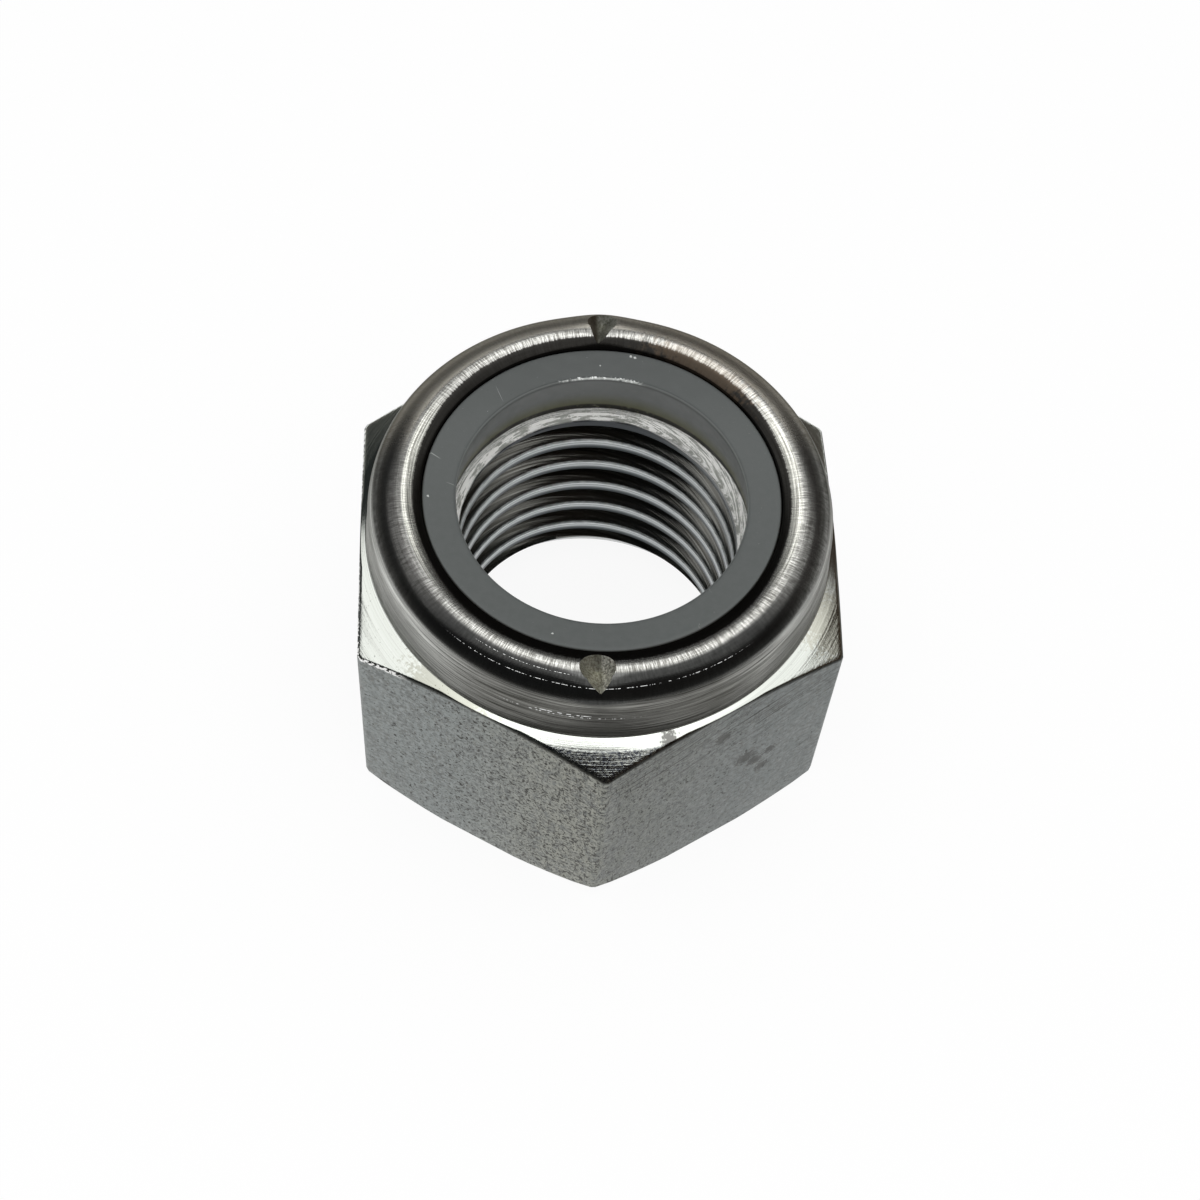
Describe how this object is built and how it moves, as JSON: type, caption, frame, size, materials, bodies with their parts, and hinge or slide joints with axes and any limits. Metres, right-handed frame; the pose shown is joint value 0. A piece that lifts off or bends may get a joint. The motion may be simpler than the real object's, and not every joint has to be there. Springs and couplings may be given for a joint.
{
  "type": "threaded nut",
  "caption": "Hexagon nut with a collar rolled over a polymer locking ring, for a coarse metric thread.",
  "frame": {"origin": "centre of the flat bearing face underneath, on the thread axis", "axes": "+Z along the thread axis, from the bearing face towards the rolled rim; two corners of the hexagon lie on the Y axis"},
  "size_m": [0.036, 0.0414, 0.0271],
  "materials": {
    "steel": "bright drawn flats with turned chamfers, thin zinc film, fine dark pitting",
    "insert": "moulded, smooth and slightly waxy"
  },
  "bodies": {
    "root": {"hex_body": "steel", "locking_insert": "insert"}
  },
  "joints": []
}
